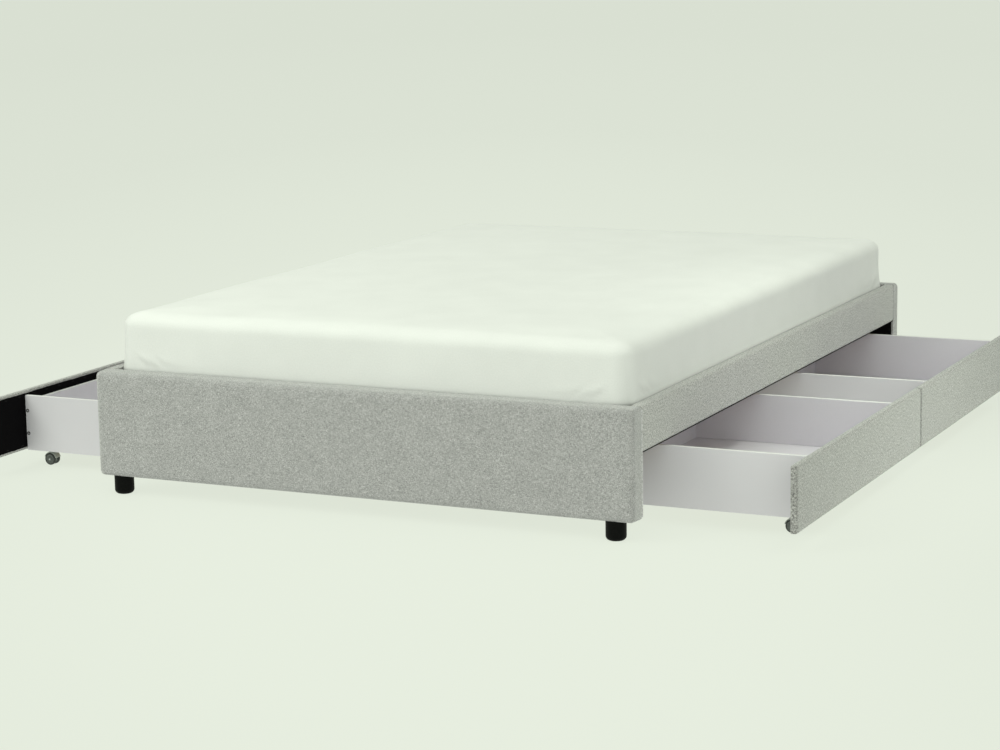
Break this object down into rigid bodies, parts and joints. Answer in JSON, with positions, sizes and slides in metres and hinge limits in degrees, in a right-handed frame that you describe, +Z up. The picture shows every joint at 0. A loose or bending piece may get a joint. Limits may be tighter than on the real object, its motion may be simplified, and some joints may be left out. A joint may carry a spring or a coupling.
{
  "type": "platform bed with storage drawers",
  "caption": "Low upholstered platform bed with a mattress and wide drawers on castors that roll out from under both sides.",
  "frame": {"origin": "on the floor under the middle of the bed, drawers pulled out", "axes": "+Z up, +Y to the head end, +X to the right-hand side as seen from the foot end"},
  "size_m": [2.255, 2.14, 0.4651],
  "materials": {
    "upholstery": "light grey woven upholstery fabric over thin padding",
    "sheet": "white cotton fitted sheet",
    "melamine": "pale grey-white melamine-faced board, satin",
    "pine": "planed softwood, unfinished",
    "black_leg": "black lacquer, satin",
    "steel": "zinc-plated bent sheet",
    "wheel_plastic": "moulded grey plastic with a darker tread"
  },
  "bodies": {
    "bed_frame": {"foot_panel": "upholstery", "head_panel": "upholstery", "side_rail_right": "upholstery", "side_rail_left": "upholstery", "slat_ledge_right": "pine", "slat_ledge_left": "pine", "corner_bracket_right_foot": "steel", "corner_bracket_right_head": "steel", "corner_bracket_left_foot": "steel", "corner_bracket_left_head": "steel", "leg_foot_right": "black_leg", "leg_foot_left": "black_leg", "leg_head_right": "black_leg", "leg_head_left": "black_leg", "centre_leg": "black_leg", "centre_beam": "pine", "beam_hanger_foot": "steel", "beam_hanger_head": "steel", "slat_roll": "pine", "mattress": "sheet"},
    "drawer_right_1": {"drawer_right_1_front": "upholstery", "drawer_right_1_inner_front": "melamine", "drawer_right_1_end_side": "melamine", "drawer_right_1_middle_side": "melamine", "drawer_right_1_back": "melamine", "drawer_right_1_floor": "melamine"},
    "drawer_right_1_wheels_a": {"drawer_right_1_wheels_a": "wheel_plastic"},
    "drawer_right_1_wheels_b": {"drawer_right_1_wheels_b": "wheel_plastic"},
    "drawer_right_1_wheels_c": {"drawer_right_1_wheels_c": "wheel_plastic"},
    "drawer_right_1_wheels_d": {"drawer_right_1_wheels_d": "wheel_plastic"},
    "drawer_right_2": {"drawer_right_2_front": "upholstery", "drawer_right_2_inner_front": "melamine", "drawer_right_2_end_side": "melamine", "drawer_right_2_middle_side": "melamine", "drawer_right_2_back": "melamine", "drawer_right_2_floor": "melamine"},
    "drawer_right_2_wheels_a": {"drawer_right_2_wheels_a": "wheel_plastic"},
    "drawer_right_2_wheels_b": {"drawer_right_2_wheels_b": "wheel_plastic"},
    "drawer_right_2_wheels_c": {"drawer_right_2_wheels_c": "wheel_plastic"},
    "drawer_right_2_wheels_d": {"drawer_right_2_wheels_d": "wheel_plastic"},
    "drawer_left_1": {"drawer_left_1_front": "upholstery", "drawer_left_1_inner_front": "melamine", "drawer_left_1_end_side": "melamine", "drawer_left_1_middle_side": "melamine", "drawer_left_1_back": "melamine", "drawer_left_1_floor": "melamine"},
    "drawer_left_1_wheels_a": {"drawer_left_1_wheels_a": "wheel_plastic"},
    "drawer_left_1_wheels_b": {"drawer_left_1_wheels_b": "wheel_plastic"},
    "drawer_left_1_wheels_c": {"drawer_left_1_wheels_c": "wheel_plastic"},
    "drawer_left_1_wheels_d": {"drawer_left_1_wheels_d": "wheel_plastic"},
    "drawer_left_2": {"drawer_left_2_front": "upholstery", "drawer_left_2_inner_front": "melamine", "drawer_left_2_end_side": "melamine", "drawer_left_2_middle_side": "melamine", "drawer_left_2_back": "melamine", "drawer_left_2_floor": "melamine"},
    "drawer_left_2_wheels_a": {"drawer_left_2_wheels_a": "wheel_plastic"},
    "drawer_left_2_wheels_b": {"drawer_left_2_wheels_b": "wheel_plastic"},
    "drawer_left_2_wheels_c": {"drawer_left_2_wheels_c": "wheel_plastic"},
    "drawer_left_2_wheels_d": {"drawer_left_2_wheels_d": "wheel_plastic"}
  },
  "joints": [
    {"name": "drawer_right_1_slide", "type": "slide", "parent": "bed_frame", "child": "drawer_right_1", "axis": [1, 0, 0], "range_m": [-0.378, 0.162]},
    {"name": "drawer_right_1_wheels_a_roll", "type": "hinge", "parent": "drawer_right_1", "child": "drawer_right_1_wheels_a", "pos_m": [1.043, -0.818, 0.016], "axis": [0, 1, 0], "continuous": true},
    {"name": "drawer_right_1_wheels_b_roll", "type": "hinge", "parent": "drawer_right_1", "child": "drawer_right_1_wheels_b", "pos_m": [1.043, -0.19, 0.016], "axis": [0, 1, 0], "continuous": true},
    {"name": "drawer_right_1_wheels_c_roll", "type": "hinge", "parent": "drawer_right_1", "child": "drawer_right_1_wheels_c", "pos_m": [0.597, -0.818, 0.016], "axis": [0, 1, 0], "continuous": true},
    {"name": "drawer_right_1_wheels_d_roll", "type": "hinge", "parent": "drawer_right_1", "child": "drawer_right_1_wheels_d", "pos_m": [0.597, -0.19, 0.016], "axis": [0, 1, 0], "continuous": true},
    {"name": "drawer_right_2_slide", "type": "slide", "parent": "bed_frame", "child": "drawer_right_2", "axis": [1, 0, 0], "range_m": [-0.378, 0.162]},
    {"name": "drawer_right_2_wheels_a_roll", "type": "hinge", "parent": "drawer_right_2", "child": "drawer_right_2_wheels_a", "pos_m": [1.043, 0.822, 0.016], "axis": [0, 1, 0], "continuous": true},
    {"name": "drawer_right_2_wheels_b_roll", "type": "hinge", "parent": "drawer_right_2", "child": "drawer_right_2_wheels_b", "pos_m": [1.043, 0.194, 0.016], "axis": [0, 1, 0], "continuous": true},
    {"name": "drawer_right_2_wheels_c_roll", "type": "hinge", "parent": "drawer_right_2", "child": "drawer_right_2_wheels_c", "pos_m": [0.597, 0.822, 0.016], "axis": [0, 1, 0], "continuous": true},
    {"name": "drawer_right_2_wheels_d_roll", "type": "hinge", "parent": "drawer_right_2", "child": "drawer_right_2_wheels_d", "pos_m": [0.597, 0.194, 0.016], "axis": [0, 1, 0], "continuous": true},
    {"name": "drawer_left_1_slide", "type": "slide", "parent": "bed_frame", "child": "drawer_left_1", "axis": [-1, 0, 0], "range_m": [-0.397, 0.143]},
    {"name": "drawer_left_1_wheels_a_roll", "type": "hinge", "parent": "drawer_left_1", "child": "drawer_left_1_wheels_a", "pos_m": [-1.062, -0.818, 0.016], "axis": [0, 1, 0], "continuous": true},
    {"name": "drawer_left_1_wheels_b_roll", "type": "hinge", "parent": "drawer_left_1", "child": "drawer_left_1_wheels_b", "pos_m": [-1.062, -0.19, 0.016], "axis": [0, 1, 0], "continuous": true},
    {"name": "drawer_left_1_wheels_c_roll", "type": "hinge", "parent": "drawer_left_1", "child": "drawer_left_1_wheels_c", "pos_m": [-0.616, -0.818, 0.016], "axis": [0, 1, 0], "continuous": true},
    {"name": "drawer_left_1_wheels_d_roll", "type": "hinge", "parent": "drawer_left_1", "child": "drawer_left_1_wheels_d", "pos_m": [-0.616, -0.19, 0.016], "axis": [0, 1, 0], "continuous": true},
    {"name": "drawer_left_2_slide", "type": "slide", "parent": "bed_frame", "child": "drawer_left_2", "axis": [-1, 0, 0], "range_m": [-0.397, 0.143]},
    {"name": "drawer_left_2_wheels_a_roll", "type": "hinge", "parent": "drawer_left_2", "child": "drawer_left_2_wheels_a", "pos_m": [-1.062, 0.822, 0.016], "axis": [0, 1, 0], "continuous": true},
    {"name": "drawer_left_2_wheels_b_roll", "type": "hinge", "parent": "drawer_left_2", "child": "drawer_left_2_wheels_b", "pos_m": [-1.062, 0.194, 0.016], "axis": [0, 1, 0], "continuous": true},
    {"name": "drawer_left_2_wheels_c_roll", "type": "hinge", "parent": "drawer_left_2", "child": "drawer_left_2_wheels_c", "pos_m": [-0.616, 0.822, 0.016], "axis": [0, 1, 0], "continuous": true},
    {"name": "drawer_left_2_wheels_d_roll", "type": "hinge", "parent": "drawer_left_2", "child": "drawer_left_2_wheels_d", "pos_m": [-0.616, 0.194, 0.016], "axis": [0, 1, 0], "continuous": true}
  ],
  "couplings": [
    {"joint": "drawer_right_1_wheels_a_roll", "follows": "drawer_right_1_slide", "rad_per_m": 62.5},
    {"joint": "drawer_right_1_wheels_b_roll", "follows": "drawer_right_1_slide", "rad_per_m": 62.5},
    {"joint": "drawer_right_1_wheels_c_roll", "follows": "drawer_right_1_slide", "rad_per_m": 62.5},
    {"joint": "drawer_right_1_wheels_d_roll", "follows": "drawer_right_1_slide", "rad_per_m": 62.5},
    {"joint": "drawer_right_2_wheels_a_roll", "follows": "drawer_right_2_slide", "rad_per_m": 62.5},
    {"joint": "drawer_right_2_wheels_b_roll", "follows": "drawer_right_2_slide", "rad_per_m": 62.5},
    {"joint": "drawer_right_2_wheels_c_roll", "follows": "drawer_right_2_slide", "rad_per_m": 62.5},
    {"joint": "drawer_right_2_wheels_d_roll", "follows": "drawer_right_2_slide", "rad_per_m": 62.5},
    {"joint": "drawer_left_1_wheels_a_roll", "follows": "drawer_left_1_slide", "rad_per_m": -62.5},
    {"joint": "drawer_left_1_wheels_b_roll", "follows": "drawer_left_1_slide", "rad_per_m": -62.5},
    {"joint": "drawer_left_1_wheels_c_roll", "follows": "drawer_left_1_slide", "rad_per_m": -62.5},
    {"joint": "drawer_left_1_wheels_d_roll", "follows": "drawer_left_1_slide", "rad_per_m": -62.5},
    {"joint": "drawer_left_2_wheels_a_roll", "follows": "drawer_left_2_slide", "rad_per_m": -62.5},
    {"joint": "drawer_left_2_wheels_b_roll", "follows": "drawer_left_2_slide", "rad_per_m": -62.5},
    {"joint": "drawer_left_2_wheels_c_roll", "follows": "drawer_left_2_slide", "rad_per_m": -62.5},
    {"joint": "drawer_left_2_wheels_d_roll", "follows": "drawer_left_2_slide", "rad_per_m": -62.5}
  ]
}
